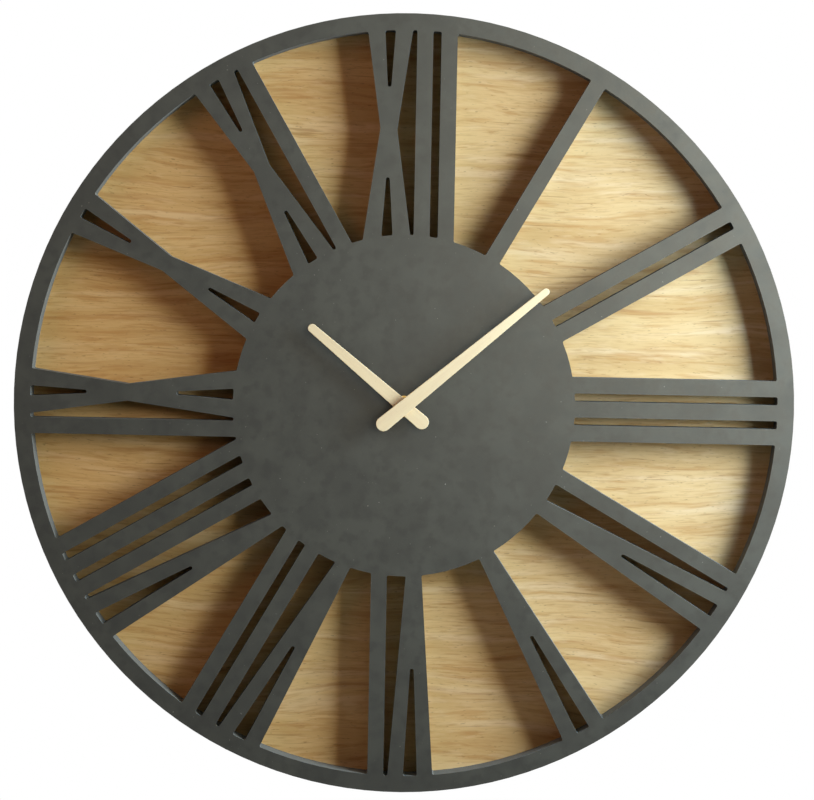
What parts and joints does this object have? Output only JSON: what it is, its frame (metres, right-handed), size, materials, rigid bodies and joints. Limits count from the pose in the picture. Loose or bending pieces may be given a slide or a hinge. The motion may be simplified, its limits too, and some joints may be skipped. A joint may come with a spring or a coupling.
{
  "type": "wall clock",
  "caption": "Round wall clock: thick graphite board cut through in fretwork Roman numerals over an oak panel, two wooden hands on a battery quartz movement, keyhole hanger behind.",
  "frame": {"origin": "on the wall plane, at the hands' axis", "axes": "dial faces -Y, XII is at +Z, +X is at III, +Y points into the wall"},
  "size_m": [0.5999, 0.039, 0.6],
  "materials": {
    "graphite_board": "graphite-dyed fibreboard, cut edge",
    "oak_veneer": "oiled oak veneer, grain across",
    "hand_wood": "sanded beech",
    "brass": "turned, bright",
    "black_abs": "moulded, fine texture",
    "acetal_white": "moulded, plain",
    "plate_plastic": "moulded, plain",
    "zinc_steel": "zinc plated",
    "yellow_zinc": "yellow passivated",
    "soft_rubber": "moulded, matt",
    "nickel_strip": "nickel plated spring strip",
    "cell_jacket": "printed jacket left plain",
    "board_green": "solder resist",
    "crystal_can": "drawn can",
    "copper_wire": "enamelled copper",
    "core_iron": "stamped soft iron",
    "magnet": "bonded magnet",
    "knob_grey": "moulded, ribbed"
  },
  "bodies": {
    "clock_body": {"front_dial": "graphite_board", "back_panel": "oak_veneer", "wall_pads": "soft_rubber", "hanger_plate": "zinc_steel", "hanger_screws": "yellow_zinc", "movement_case": "black_abs", "movement_cover": "black_abs", "middle_plate": "plate_plastic", "centre_bush": "brass", "rubber_washer": "soft_rubber", "dial_washer": "brass", "hex_nut": "brass", "battery": "cell_jacket", "contact_plus": "nickel_strip", "contact_minus": "nickel_strip", "circuit_board": "board_green", "quartz_crystal": "crystal_can", "coil_bobbin": "plate_plastic", "coil_winding": "copper_wire", "coil_core": "core_iron", "stator": "core_iron"},
    "minute": {"minute_wheel": "acetal_white", "minute_arbor": "brass", "minute_hub": "brass", "minute_hand": "hand_wood"},
    "hour": {"hour_wheel": "acetal_white", "hour_hub": "brass", "hour_hand": "hand_wood"},
    "motion": {"motion_wheel": "acetal_white", "set_knob": "knob_grey"},
    "third": {"third_wheel": "acetal_white"},
    "rotor": {"rotor_magnet": "magnet", "rotor_pinion": "acetal_white"}
  },
  "joints": [
    {"name": "minute_spin", "type": "hinge", "parent": "clock_body", "child": "minute", "pos_m": [0, 0, 0], "axis": [0, 1, 0], "continuous": true},
    {"name": "hour_spin", "type": "hinge", "parent": "clock_body", "child": "hour", "pos_m": [0, 0, 0], "axis": [0, 1, 0], "continuous": true},
    {"name": "motion_spin", "type": "hinge", "parent": "clock_body", "child": "motion", "pos_m": [0.00864, 0, 0], "axis": [0, 1, 0], "continuous": true},
    {"name": "third_spin", "type": "hinge", "parent": "clock_body", "child": "third", "pos_m": [-0.0056, 0, 0.0056], "axis": [0, 1, 0], "continuous": true},
    {"name": "rotor_spin", "type": "hinge", "parent": "clock_body", "child": "rotor", "pos_m": [-0.00051, 0, 0.01069], "axis": [0, 1, 0], "continuous": true}
  ],
  "couplings": [
    {"joint": "hour_spin", "follows": "minute_spin", "ratio": 0.083333},
    {"joint": "motion_spin", "follows": "minute_spin", "ratio": -0.33333},
    {"joint": "third_spin", "follows": "minute_spin", "ratio": -10},
    {"joint": "rotor_spin", "follows": "minute_spin", "ratio": 90}
  ]
}
